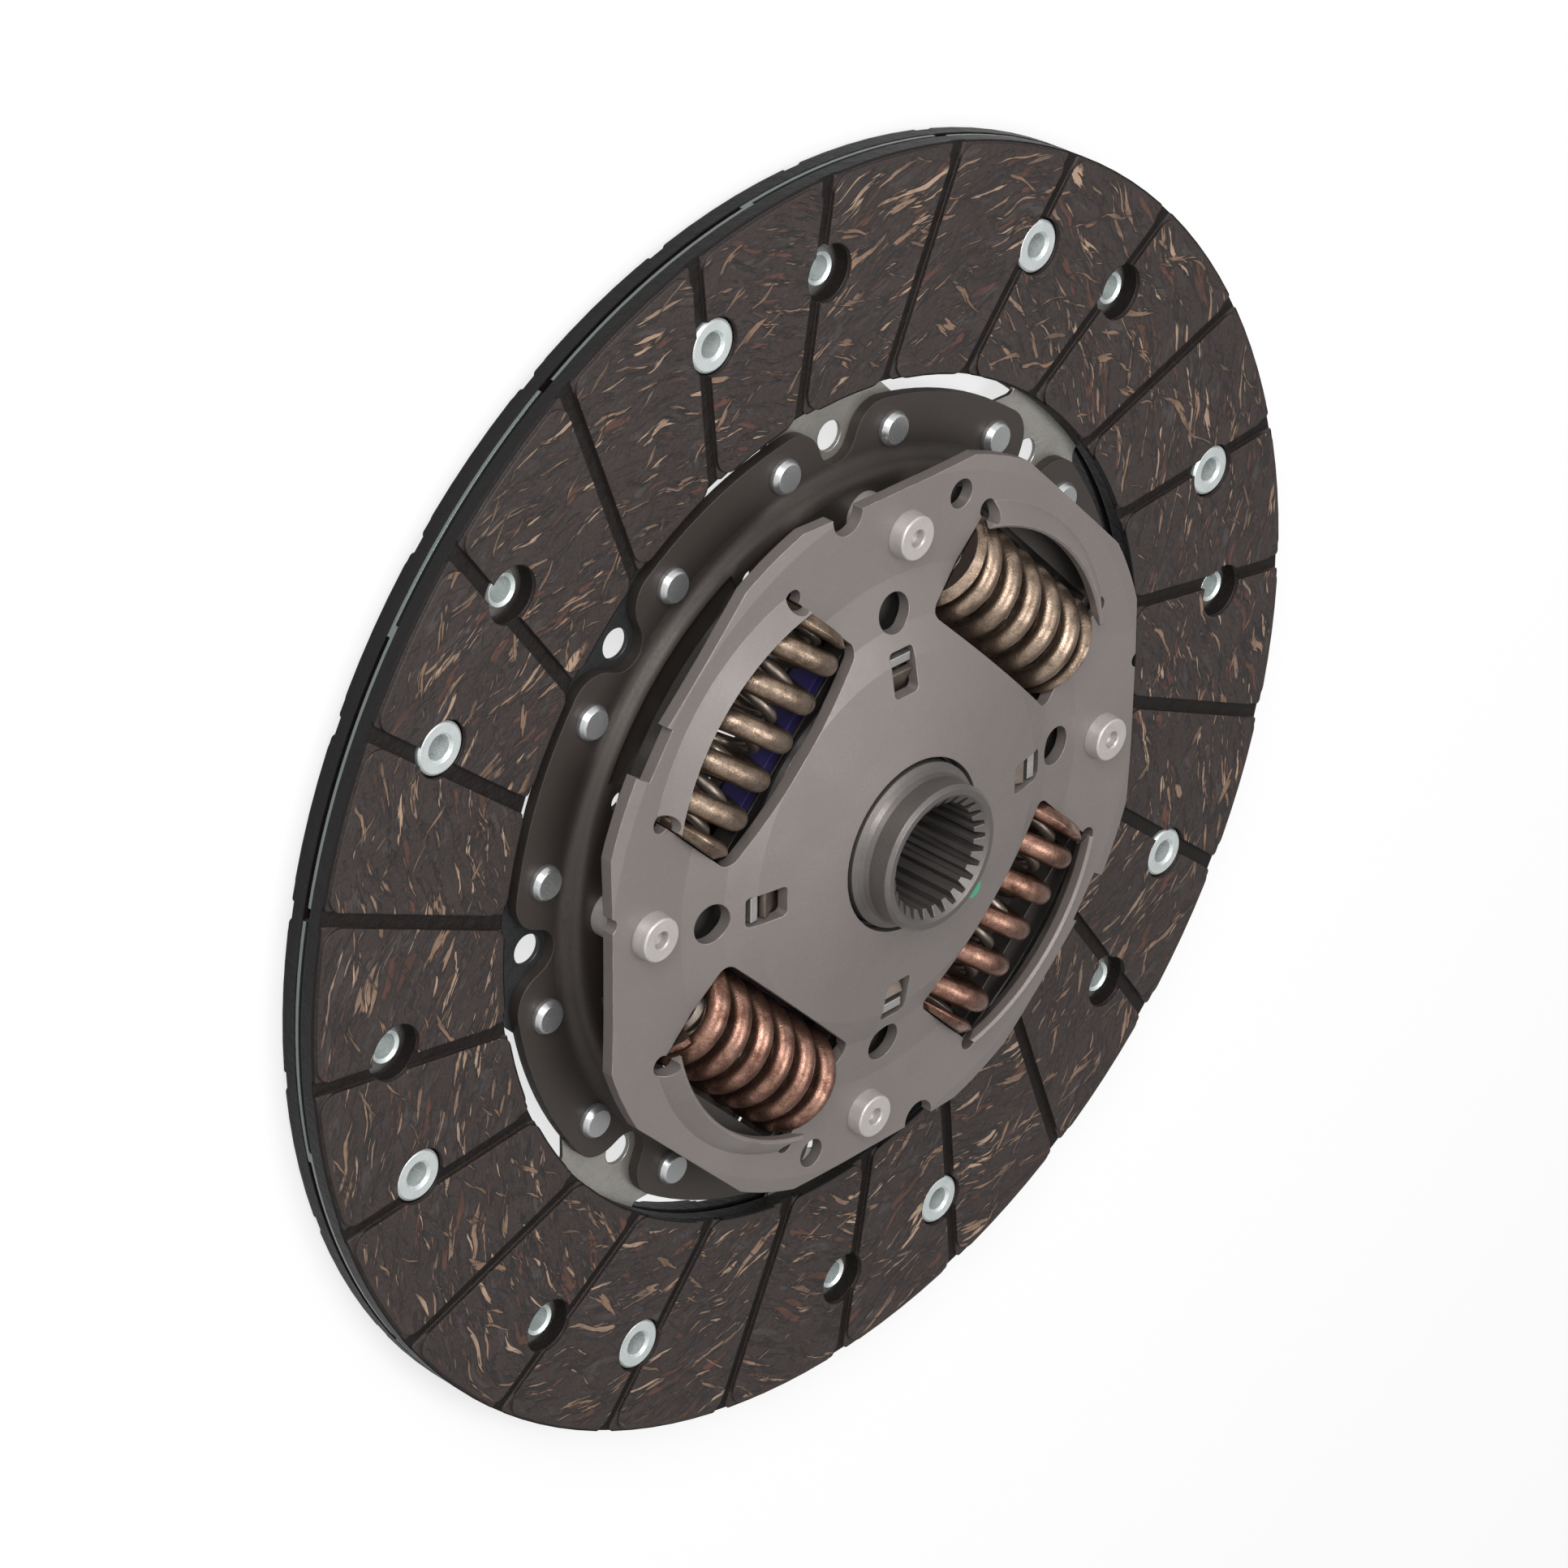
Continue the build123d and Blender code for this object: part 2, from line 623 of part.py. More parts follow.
# Hub flange with spring windows and a slot round each stop rivet
slot_half_deg = travel_deg + 4.8
with BuildPart() as hub_flange:
    with BuildSketch(Plane.XY.offset(hub_flange_z)):
        Circle(hub_flange_r)
        Circle(gear_tip_r + gear_clear, mode=Mode.SUBTRACT)
        for k in range(4):
            with Locations(Location((0, 0, 0), (0, 0, 45 + 90 * k))):
                with Locations(((hub_window_inner + hub_window_outer) / 2, 0)):
                    Rectangle(hub_window_outer - hub_window_inner, 2 * window_half, mode=Mode.SUBTRACT)
        for k in range(4):
            mid = stop_rivet_deg + 90 * k
            with Locations(Location((0, 0, 0), (0, 0, mid))):
                Polygon(
                    (stop_rivet_r - 5.4, -(stop_rivet_r - 5.4) * sin(radians(slot_half_deg))),
                    (hub_flange_r + 3, -(hub_flange_r + 3) * sin(radians(slot_half_deg))),
                    (hub_flange_r + 3, (hub_flange_r + 3) * sin(radians(slot_half_deg))),
                    (stop_rivet_r - 5.4, (stop_rivet_r - 5.4) * sin(radians(slot_half_deg))),
                    align=None,
                    mode=Mode.SUBTRACT,
                )
        half = radians(flange_tooth_deg / 2)
        tip = gear_root_r + gear_clear
        with PolarLocations(0, gear_count, start_angle=180 / gear_count):
            Polygon(
                (tip, -tip * sin(half)),
                (gear_tip_r + 1.5, -(gear_tip_r + 1.5) * sin(half)),
                (gear_tip_r + 1.5, (gear_tip_r + 1.5) * sin(half)),
                (tip, tip * sin(half)),
                align=None,
            )
    extrude(amount=hub_flange_t)
hub_flange.part.label = "hub_flange"
export_step(hub_flange.part, "parts/hub_flange.step")

# Hub with splined bore and outer teeth that mesh loosely with the hub flange
with BuildPart() as hub:
    with BuildSketch(Plane.XZ):
        with BuildLine():
            Polyline(
                (spline_minor_r, hub_bottom_z + 1.4),
                (spline_major_r + 0.4, hub_bottom_z),
                (rear_r - 0.8, hub_bottom_z),
                (rear_r, hub_bottom_z + 0.8),
                (rear_r, hub_flange_z - 0.2),
                (gear_root_r, hub_flange_z - 0.2),
                (gear_root_r, collar_foot_z),
                (collar_r, collar_foot_z),
                (collar_r, collar_top_z),
                (collar_r - 0.75, collar_top_z + 0.55),
                (tube_r + 0.35, collar_top_z + 1.25),
                (tube_r, collar_top_z + 2.2),
                (tube_r, hub_top_z - 0.6),
                (tube_r - 0.6, hub_top_z),
                (spline_major_r + 0.5, hub_top_z),
                (spline_minor_r, hub_top_z - 1.5),
                close=True,
            )
        make_face()
    revolve(axis=Axis.Z)
    with BuildSketch(Plane.XY.offset(hub_bottom_z)):
        with PolarLocations(0, spline_count):
            Polygon(
                (spline_minor_r - 0.4, -0.78),
                (spline_major_r, -0.42),
                (spline_major_r, 0.42),
                (spline_minor_r - 0.4, 0.78),
                align=None,
            )
    extrude(amount=hub_top_z - hub_bottom_z, mode=Mode.SUBTRACT)
    with BuildSketch(Plane.XY.offset(hub_flange_z)):
        with PolarLocations(0, gear_count):
            Polygon(
                (gear_root_r - 1, -(gear_root_r - 1) * sin(radians(gear_deg / 2))),
                (gear_tip_r, -gear_tip_r * sin(radians(gear_deg / 2))),
                (gear_tip_r, gear_tip_r * sin(radians(gear_deg / 2))),
                (gear_root_r - 1, (gear_root_r - 1) * sin(radians(gear_deg / 2))),
                align=None,
            )
    extrude(amount=hub_flange_t)
hub.part.label = "hub"
export_step(hub.part, "parts/hub.step")

# Cage of the idle damper with a lug in each spring window
with BuildPart() as damper_cage:
    with BuildSketch(Plane.XY.offset(cage_step_z)):
        Circle(cage_flange_r)
        with PolarLocations(0, 4, start_angle=45):
            with Locations((tab_outer / 2, 0)):
                Rectangle(tab_outer, 2 * tab_half)
        Circle(cage_bore_r + 2.2, mode=Mode.SUBTRACT)
    extrude(amount=cage_top_z - cage_step_z)
    with BuildSketch(Plane.XY.offset(cage_top_z)):
        with PolarLocations(0, 4, start_angle=45):
            with Locations(((tab_inner + tab_outer) / 2, 0)):
                Rectangle(tab_outer - tab_inner, 2 * tab_half)
    extrude(amount=tab_top_z - cage_top_z)
    with BuildSketch(Plane.XY.offset(cage_bottom_z)):
        Circle(cage_r)
        Circle(cage_bore_r, mode=Mode.SUBTRACT)
    extrude(amount=cage_step_z - cage_bottom_z)
    with Locations(*[Location((0, 0, idle_spring_z), (0, 0, 90 * k)) for k in range(4)]):
        with Locations(Location((idle_spring_r, 0, 0), (90, 0, 0))):
            Cylinder(idle_spring_od / 2 + 0.2, 2 * idle_window_half, mode=Mode.SUBTRACT)
    with BuildSketch(Plane.XY.offset(cage_bottom_z)):
        with PolarLocations(idle_rivet_r, 4, start_angle=45):
            Circle(idle_rivet_d / 2)
    extrude(amount=1.8, mode=Mode.SUBTRACT)
damper_cage.part.label = "damper_cage"
export_step(damper_cage.part, "parts/damper_cage.step")

# Idle plate that turns with the hub
with BuildPart() as idle_plate:
    with BuildSketch(Plane.XY.offset(idle_plate_z)):
        Circle(idle_plate_r)
        Circle(rear_r + 0.02, mode=Mode.SUBTRACT)
        for k in range(4):
            with Locations(Location((0, 0, 0), (0, 0, 90 * k))):
                with Locations((idle_spring_r, 0)):
                    Rectangle(idle_spring_od + 0.8, 2 * idle_window_half, mode=Mode.SUBTRACT)
            with Locations(Location((0, 0, 0), (0, 0, 45 + 90 * k))):
                with Locations((idle_rivet_r, 0)):
                    Rectangle(idle_rivet_d + 0.8, 7.4, mode=Mode.SUBTRACT)
    extrude(amount=idle_plate_t)
idle_plate.part.label = "idle_plate"
export_step(idle_plate.part, "parts/idle_plate.step")

# Cover that closes the idle damper
with BuildPart() as idle_cover:
    with BuildSketch(Plane.XY.offset(cover_z)):
        Circle(cover_r)
        Circle(cage_bore_r, mode=Mode.SUBTRACT)
        for k in range(4):
            with Locations(Location((0, 0, 0), (0, 0, 90 * k))):
                with Locations((idle_spring_r, 0)):
                    Rectangle(idle_spring_od - 0.2, 2 * idle_window_half, mode=Mode.SUBTRACT)
        with PolarLocations(idle_rivet_r, 4, start_angle=45):
            Circle(idle_rivet_d / 2, mode=Mode.SUBTRACT)
    extrude(amount=cover_t)
idle_cover.part.label = "idle_cover"
export_step(idle_cover.part, "parts/idle_cover.step")

# Rivets between cage and cover
with BuildPart() as idle_rivets:
    with BuildSketch(Plane.XY.offset(cover_z)):
        with PolarLocations(idle_rivet_r, 4, start_angle=45):
            Circle(idle_rivet_d / 2)
    extrude(amount=cage_bottom_z + 1.8 - cover_z)
    with BuildSketch(Plane.XY.offset(cover_z)):
        with PolarLocations(idle_rivet_r, 4, start_angle=45):
            Circle(2.4)
    extrude(amount=-0.8)
idle_rivets.part.label = "idle_rivets"
export_step(idle_rivets.part, "parts/idle_rivets.step")

# Friction ring on the hub flange, gearbox side
friction_z = hub_flange_z + hub_flange_t + friction_gap
with BuildPart() as friction_ring:
    with BuildSketch(Plane.XY.offset(friction_z)):
        Circle(friction_outer_r)
        Circle(friction_inner_r, mode=Mode.SUBTRACT)
    extrude(amount=friction_t)
friction_ring.part.label = "friction_ring"
export_step(friction_ring.part, "parts/friction_ring.step")

# Support ring with four lugs that stand in the slots of the retainer plate
support_z = friction_z + friction_t + 0.05
with BuildPart() as support_ring:
    with BuildSketch(Plane.XY.offset(support_z)):
        Circle(support_outer_r)
        with PolarLocations(0, 4):
            with Locations((support_tab_r + support_tab_t - 5, 0)):
                Rectangle(10, tongue_w)
        Circle(support_inner_r, mode=Mode.SUBTRACT)
    extrude(amount=support_t)
    with BuildSketch(Plane.XY.offset(support_z)):
        with PolarLocations(0, 4):
            with Locations((support_tab_r + support_tab_t / 2, 0)):
                Rectangle(support_tab_t, tongue_w)
    extrude(amount=support_tab_top_z - support_z)
support_ring.part.label = "support_ring"
export_step(support_ring.part, "parts/support_ring.step")

# Disc spring with four tongues that rise into the same slots
disc_z = support_z + support_t + 0.05
with BuildPart() as disc_spring:
    with BuildSketch(Plane.XZ):
        with BuildLine():
            Polyline(
                (disc_spring_inner_r, disc_z),
                (disc_spring_outer_r, disc_z + 0.9),
                (disc_spring_outer_r, disc_z + 0.9 + disc_spring_t),
                (disc_spring_inner_r, disc_z + disc_spring_t),
                close=True,
            )
        make_face()
    revolve(axis=Axis.Z)
    for k in range(4):
        with BuildSketch(Plane.XZ.rotated((0, 0, 90 * k)).offset(-tongue_w / 2)):
            with BuildLine():
                Polyline(
                    (disc_spring_outer_r - 1.5, disc_z + 0.8),
                    (slot_r + 0.2, disc_z + 2.35),
                    (slot_r - 0.2, disc_z + 3.35),
                    (disc_spring_outer_r - 2.0, disc_z + 1.5),
                    close=True,
                )
            make_face()
        extrude(amount=tongue_w)
disc_spring.part.label = "disc_spring"
export_step(disc_spring.part, "parts/disc_spring.step")

# Bush that centres the retainer plate on the hub collar
with BuildPart() as centring_bush:
    with BuildSketch(Plane.XY.offset(bush_z)):
        Circle(bush_outer_r)
        Circle(bush_r, mode=Mode.SUBTRACT)
    extrude(amount=bush_top_z - bush_z)
centring_bush.part.label = "centring_bush"
export_step(centring_bush.part, "parts/centring_bush.step")


def coil(outer_d, wire, pitch, length, left):
    mean_r = (outer_d - wire) / 2
    run = length + wire
    with BuildPart() as spring:
        with BuildLine():
            path = Helix(pitch, run, mean_r, center=(0, 0, -run / 2), lefthand=left)
        with BuildSketch(Plane(origin=path @ 0, z_dir=path % 0)):
            Circle(wire / 2)
        sweep(is_frenet=True)
        with BuildSketch(Plane.XY.offset(-length / 2)):
            Circle(outer_d)
        extrude(amount=length, mode=Mode.INTERSECT)
    return spring.part


# Main springs and the thinner springs inside them
outer_coil = coil(spring_od, spring_wire, spring_pitch, spring_len, True)
inner_coil = coil(inner_spring_od, inner_spring_wire, inner_spring_pitch, inner_spring_len, False)
for k in range(4):
    place = Location((0, 0, spring_z), (0, 0, 45 + 90 * k)) * Location((spring_r, 0, 0), (-90, 0, 0))
    with BuildPart() as outer_spring:
        with Locations(place):
            add(outer_coil)
    outer_spring.part.label = f"outer_spring_{k + 1}"
    export_step(outer_spring.part, f"parts/outer_spring_{k + 1}.step")
    with BuildPart() as inner_spring:
        with Locations(place):
            add(inner_coil)
    inner_spring.part.label = f"inner_spring_{k + 1}"
    export_step(inner_spring.part, f"parts/inner_spring_{k + 1}.step")

# Small springs of the idle damper
idle_coil = coil(idle_spring_od, idle_spring_wire, idle_spring_pitch, idle_spring_len, False)
for k in range(4):
    place = Location((0, 0, idle_spring_z), (0, 0, 90 * k)) * Location((idle_spring_r, 0, 0), (-90, 0, 0))
    with BuildPart() as idle_spring:
        with Locations(place):
            add(idle_coil)
    idle_spring.part.label = f"idle_spring_{k + 1}"
    export_step(idle_spring.part, f"parts/idle_spring_{k + 1}.step")
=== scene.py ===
import json
from math import cos, radians, sin, sqrt

import bpy
from mathutils import Matrix, Vector


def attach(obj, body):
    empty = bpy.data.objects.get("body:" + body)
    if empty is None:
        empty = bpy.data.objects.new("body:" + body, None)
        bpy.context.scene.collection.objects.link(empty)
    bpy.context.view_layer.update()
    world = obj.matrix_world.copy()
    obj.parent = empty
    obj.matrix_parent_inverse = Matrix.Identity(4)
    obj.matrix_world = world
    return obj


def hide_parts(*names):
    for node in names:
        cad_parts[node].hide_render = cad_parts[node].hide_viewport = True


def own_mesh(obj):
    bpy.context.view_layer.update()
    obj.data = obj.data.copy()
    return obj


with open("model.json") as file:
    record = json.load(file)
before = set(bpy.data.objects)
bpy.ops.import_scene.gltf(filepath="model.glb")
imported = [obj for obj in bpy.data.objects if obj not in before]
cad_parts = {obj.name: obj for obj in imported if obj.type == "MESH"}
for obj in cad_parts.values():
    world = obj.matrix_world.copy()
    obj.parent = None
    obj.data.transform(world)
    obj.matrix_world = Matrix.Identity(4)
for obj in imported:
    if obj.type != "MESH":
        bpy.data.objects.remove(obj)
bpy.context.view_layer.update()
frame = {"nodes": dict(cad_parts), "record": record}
nodes = frame["nodes"]
scene = bpy.context.scene
scene.view_settings.view_transform = "Standard"

# Sizes in metres, the same as in the solids
MM = 0.001
STACK_MID = 4.05 * MM
FACING_OUTER, FACING_INNER = 114 * MM, 75 * MM
FACING_MEAN = 94 * MM
TURNED_OVER = radians(19.6)
GROOVES, GROOVE_OFFSET, GROOVE_START = 24, 21.8 * MM, radians(-9.1)
BLOCK_PITCH = radians(360 / GROOVES)
LOBE_PITCH = radians(45)
RIVET_R, RIVET_ANGLE = 66.2 * MM, radians(10.8)
SPRING_R, SPRING_Z = 42.4 * MM, 13.75 * MM
IDLE_R, IDLE_Z = 20.2 * MM, 6.65 * MM
FIRST_SPRING_DEG, SPRING_PITCH_DEG = 45, 90
PAINT_R, PAINT_ANGLE, PAINT_Z, PAINT_SIZE = 24.1 * MM, radians(-43.7), 23.82 * MM, 1.65 * MM

# Heights from the middle of the stack, and radii, between which a finish or a painted shade fades in or out
FACE_LEVEL, GROOVE_LEVEL = (3.8 * MM, 4.0 * MM), (3.1 * MM, 3.35 * MM)
BARE_RIM, BARE_BORE = (112.2 * MM, 113.0 * MM), (76.2 * MM, 77.2 * MM)
WALL_SKIN = (0.2 * MM, 0.35 * MM)
# Painted shade on the segment necks: the side it lies on, the lean over which it fades in, and the radii
# over which it fades out
SHADED_NECK_WAY, SHADED_NECK_LEAN, SHADED_NECK_RADII = (-0.84, 0.54, 0), (0.62, 0.72), (80 * MM, 84 * MM)
SEGMENT_RIM = (112 * MM, 113 * MM)
GROUND_SKIN = (0.08 * MM, 0.03 * MM)

# The three kinds of coil spring
OUTER_COIL = {
    "Length": 40.6 * MM, "Mean Radius": 7.75 * MM, "Wire": 4.0 * MM,
    "Turns": 6.7, "Closed Turns": 0.8, "Hand": -1.0, "Sides": 32, "Steps": 48,
}
INNER_COIL = {
    "Length": 38.0 * MM, "Mean Radius": 4.4 * MM, "Wire": 2.2 * MM,
    "Turns": 8.6, "Closed Turns": 1.0, "Hand": 1.0, "Sides": 16, "Steps": 32,
}
IDLE_COIL = {
    "Length": 10.2 * MM, "Mean Radius": 2.35 * MM, "Wire": 0.9 * MM,
    "Turns": 6.5, "Closed Turns": 1.0, "Hand": 1.0, "Sides": 12, "Steps": 24,
}


# Give a socket its value, or link it where the value comes from another node
def feed(tree, socket, value):
    if isinstance(value, bpy.types.NodeSocket):
        tree.links.new(value, socket)
    else:
        socket.default_value = value


def put(tree, kind, inputs=None, **props):
    node = tree.nodes.new(kind)
    for name, value in props.items():
        setattr(node, name, value)
    for name, value in (inputs or {}).items():
        feed(tree, node.inputs[name], value)
    return node


def calc(tree, operation, *values, clamp=False):
    inputs = dict(enumerate(values))
    return put(tree, "ShaderNodeMath", inputs, operation=operation, use_clamp=clamp).outputs[0]


def plus(tree, a, b):
    return calc(tree, "ADD", a, b)


def minus(tree, a, b):
    return calc(tree, "SUBTRACT", a, b)


def times(tree, a, b):
    return calc(tree, "MULTIPLY", a, b)


# Length of a vector that lies flat
def span(tree, a, b):
    return calc(tree, "SQRT", plus(tree, times(tree, a, a), times(tree, b, b)))


# Number worked out from one or two vectors
def measure(tree, operation, *vectors):
    return put(tree, "ShaderNodeVectorMath", dict(enumerate(vectors)), operation=operation).outputs["Value"]


def split(tree, vector):
    return put(tree, "ShaderNodeSeparateXYZ", {"Vector": vector}).outputs


def join(tree, x, y, z=0.0):
    return put(tree, "ShaderNodeCombineXYZ", {"X": x, "Y": y, "Z": z}).outputs[0]


def ramp(tree, value, low, high, start=0.0, end=1.0):
    inputs = {"Value": value, "From Min": low, "From Max": high, "To Min": start, "To Max": end}
    return put(tree, "ShaderNodeMapRange", inputs, interpolation_type="SMOOTHSTEP").outputs["Result"]


def noise(tree, place, scale, detail=2.0, roughness=0.5, distortion=0.0):
    inputs = {"Vector": place, "Scale": scale, "Detail": detail, "Roughness": roughness,
              "Distortion": distortion}
    return put(tree, "ShaderNodeTexNoise", inputs).outputs["Fac"]


def blend_colour(tree, mask, first, second):
    tones = [tone if isinstance(tone, bpy.types.NodeSocket) else (*tone, 1.0) for tone in (first, second)]
    return put(tree, "ShaderNodeMix", {0: mask, 6: tones[0], 7: tones[1]}, data_type="RGBA").outputs[2]


def new_group(name, inputs, outputs):
    group = bpy.data.node_groups.new(name, "ShaderNodeTree")
    for label, default in inputs.items():
        kind = "NodeSocketVector" if isinstance(default, tuple) else "NodeSocketFloat"
        group.interface.new_socket(label, in_out="INPUT", socket_type=kind).default_value = default
    for label, kind in outputs.items():
        group.interface.new_socket(label, in_out="OUTPUT", socket_type=kind)
    return group, group.nodes.new("NodeGroupInput").outputs, group.nodes.new("NodeGroupOutput").inputs


# Fine grain of pressed or turned steel, slow clouds over it, and thin scratches
def build_grain():
    g, given, out = new_group(
        "steel grain",
        {"Position": (0, 0, 0), "Grain": 0.4 * MM, "Cloud": 20 * MM},
        {"Shade": "NodeSocketFloat", "Height": "NodeSocketFloat", "Scratch": "NodeSocketFloat"},
    )
    place = given["Position"]
    grain_scale, cloud_scale = (calc(g, "DIVIDE", 1.0, given[size]) for size in ("Grain", "Cloud"))
    fine = noise(g, place, grain_scale, detail=3.0, roughness=0.7)
    cloud = noise(g, place, cloud_scale, detail=4.0, roughness=0.6, distortion=0.4)
    shade = calc(g, "MULTIPLY_ADD", cloud, 0.65, times(g, fine, 0.35))
    drawn_out = {"Vector": place, "Rotation": (0, 0, 0.6), "Scale": (160, 2600, 400)}
    lines = noise(g, put(g, "ShaderNodeMapping", drawn_out).outputs[0], 1.0)
    feed(g, out["Shade"], ramp(g, shade, 0.32, 0.68))
    feed(g, out["Height"], fine)
    feed(g, out["Scratch"], ramp(g, lines, 0.66, 0.74))
    return g


# Rounded edges, and a mask where they are made lighter: partly rubbed bright, partly a painted highlight
# along the edges
def build_edge_wear_and_highlight():
    g, given, out = new_group(
        "rubbed edges and painted highlight",
        {"Width": 0.2 * MM, "Position": (0, 0, 0)},
        {"Mask": "NodeSocketFloat", "Normal": "NodeSocketVector"},
    )
    rounded = put(g, "ShaderNodeBevel", {"Radius": given["Width"]}, samples=6).outputs[0]
    plain = put(g, "ShaderNodeNewGeometry").outputs["Normal"]
    corner = ramp(g, minus(g, 1.0, measure(g, "DOT_PRODUCT", rounded, plain)), 0.02, 0.16)
    patchy = ramp(g, noise(g, given["Position"], 500.0, detail=3.0), 0.3, 0.62)
    feed(g, out["Mask"], calc(g, "MULTIPLY", corner, patchy, clamp=True))
    feed(g, out["Normal"], rounded)
    return g


# Yarn in the facing: slanted strokes, laid anew in each block between two grooves
def build_yarn():
    g, given, out = new_group(
        "wound yarn",
        {"Position": (0, 0, 0), "Slant": 0.6, "Along": 110.0, "Across": 750.0, "Shift": 0.0,
         "Wander": 6 * MM, "From": 0.6, "To": 0.66},
        {"Mask": "NodeSocketFloat", "Halo": "NodeSocketFloat"},
    )
    x, y, z = split(g, given["Position"])

    # The facing below is the one above turned over
    below = calc(g, "LESS_THAN", z, STACK_MID)
    over_x = plus(g, times(g, x, cos(TURNED_OVER)), times(g, y, sin(TURNED_OVER)))
    over_y = minus(g, times(g, x, sin(TURNED_OVER)), times(g, y, cos(TURNED_OVER)))
    x = calc(g, "MULTIPLY_ADD", minus(g, over_x, x), below, x)
    y = calc(g, "MULTIPLY_ADD", minus(g, over_y, y), below, y)

    # Number of the block, and the place within it
    radius = span(g, x, y)
    start = plus(g, calc(g, "ARCSINE", calc(g, "DIVIDE", GROOVE_OFFSET, radius)), GROOVE_START)
    count = calc(g, "DIVIDE", minus(g, calc(g, "ARCTAN2", y, x), start), BLOCK_PITCH)
    block = calc(g, "FLOORED_MODULO", calc(g, "FLOOR", count), GROOVES)
    angle = calc(g, "MULTIPLY_ADD", calc(g, "FRACT", count), BLOCK_PITCH, start)
    soft = noise(g, given["Position"], 90.0, detail=1.0)
    bend = times(g, minus(g, soft, 0.5), given["Wander"])
    flat = join(g, times(g, angle, FACING_MEAN), plus(g, radius, bend))

    # Each block slants to one side or the other
    number = calc(g, "MULTIPLY_ADD", block, 1.37, 4.0)
    chance = put(g, "ShaderNodeTexWhiteNoise", {"W": number}, noise_dimensions="1D").outputs["Value"]
    slant = times(g, ramp(g, chance, 0.42, 0.58, -1.0, 1.0), given["Slant"])
    turned = put(g, "ShaderNodeVectorRotate", {"Vector": flat, "Angle": slant}, rotation_type="Z_AXIS")
    along, across, _ = split(g, turned.outputs[0])
    layer = calc(g, "MULTIPLY_ADD", block, 9.7, given["Shift"])
    spot = join(g, times(g, along, given["Along"]), times(g, across, given["Across"]), layer)
    deep = noise(g, spot, 1.0, detail=3.0, roughness=0.6)
    feed(g, out["Mask"], ramp(g, deep, given["From"], given["To"]))
    feed(g, out["Halo"], ramp(g, plus(g, deep, 0.055), given["From"], given["To"]))
    return g


GRAIN, EDGE_WEAR_AND_HIGHLIGHT, YARN = build_grain(), build_edge_wear_and_highlight(), build_yarn()


def use_group(tree, group, **inputs):
    return put(tree, "ShaderNodeGroup", inputs, node_tree=group).outputs


def new_tree(holder):
    holder.use_nodes = True
    holder.node_tree.nodes.clear()
    return holder.node_tree


def start_material(name):
    material = bpy.data.materials.new(name)
    tree = new_tree(material)
    surface = put(tree, "ShaderNodeBsdfPrincipled")
    put(tree, "ShaderNodeOutputMaterial", {0: surface.outputs[0]})
    return material, tree, surface.inputs, put(tree, "ShaderNodeTexCoord").outputs["Object"]


def bump(tree, height, depth, normal):
    inputs = {"Height": height, "Distance": depth, "Strength": 1.0, "Normal": normal}
    return put(tree, "ShaderNodeBump", inputs).outputs[0]


# Faint turned rings about the middle of each segment rivet
def turned_rings(tree, place):
    x, y, _ = split(tree, place)
    shifted = plus(tree, calc(tree, "ARCTAN2", y, x), LOBE_PITCH / 2)
    fold = minus(tree, calc(tree, "FLOORED_MODULO", shifted, LOBE_PITCH), LOBE_PITCH / 2)
    angle = minus(tree, calc(tree, "ABSOLUTE", fold), RIVET_ANGLE)
    radius = span(tree, x, y)
    along = minus(tree, times(tree, radius, calc(tree, "COSINE", angle)), RIVET_R)
    aside = times(tree, radius, calc(tree, "SINE", angle))
    lathe = {"W": times(tree, span(tree, along, aside), 2600.0), "Detail": 3.0, "Roughness": 0.7}
    return ramp(tree, put(tree, "ShaderNodeTexNoise", lathe, noise_dimensions="1D").outputs["Fac"], 0.3, 0.7)


# Painted shade: necks on one side of the disc darkened, standing in for a darker reflection there; and a
# duller rim between the facings
def segment_shade_and_rim(tree, place, colour):
    away = put(tree, "ShaderNodeVectorMath", {0: place}, operation="NORMALIZE").outputs[0]
    reach = measure(tree, "LENGTH", place)
    neck = ramp(tree, reach, *SHADED_NECK_RADII, 1.0, 0.0)
    # Painted shade: dark necks on one side of the disc, standing in for a darker reflection there
    shaded_neck = times(tree, ramp(tree, measure(tree, "DOT_PRODUCT", away, SHADED_NECK_WAY), *SHADED_NECK_LEAN), neck)
    colour = blend_colour(tree, shaded_neck, colour, (0.085, 0.089, 0.091))
    return blend_colour(tree, ramp(tree, reach, *SEGMENT_RIM), colour, (0.16, 0.185, 0.178))


# Dark ground faces at both ends of the springs, which lie on the diagonals
def ground_ends(tree, place, colour):
    x, y, _ = split(tree, place)
    rising = calc(tree, "ABSOLUTE", plus(tree, x, y))
    falling = calc(tree, "ABSOLUTE", minus(tree, x, y))
    along = calc(tree, "MINIMUM", rising, falling)
    face = ramp(tree, along, *((OUTER_COIL["Length"] / 2 - skin) * sqrt(2) for skin in GROUND_SKIN))
    return blend_colour(tree, face, colour, (0.05, 0.038, 0.032))


# Dot of green paint beside the hub
def paint_dot(tree, place, colour):
    spot = (PAINT_R * cos(PAINT_ANGLE), PAINT_R * sin(PAINT_ANGLE), PAINT_Z)
    mask = ramp(tree, measure(tree, "DISTANCE", place, spot), PAINT_SIZE * 0.93, PAINT_SIZE * 1.03, 1.0, 0.0)
    return blend_colour(tree, mask, colour, (0.09, 0.42, 0.27))
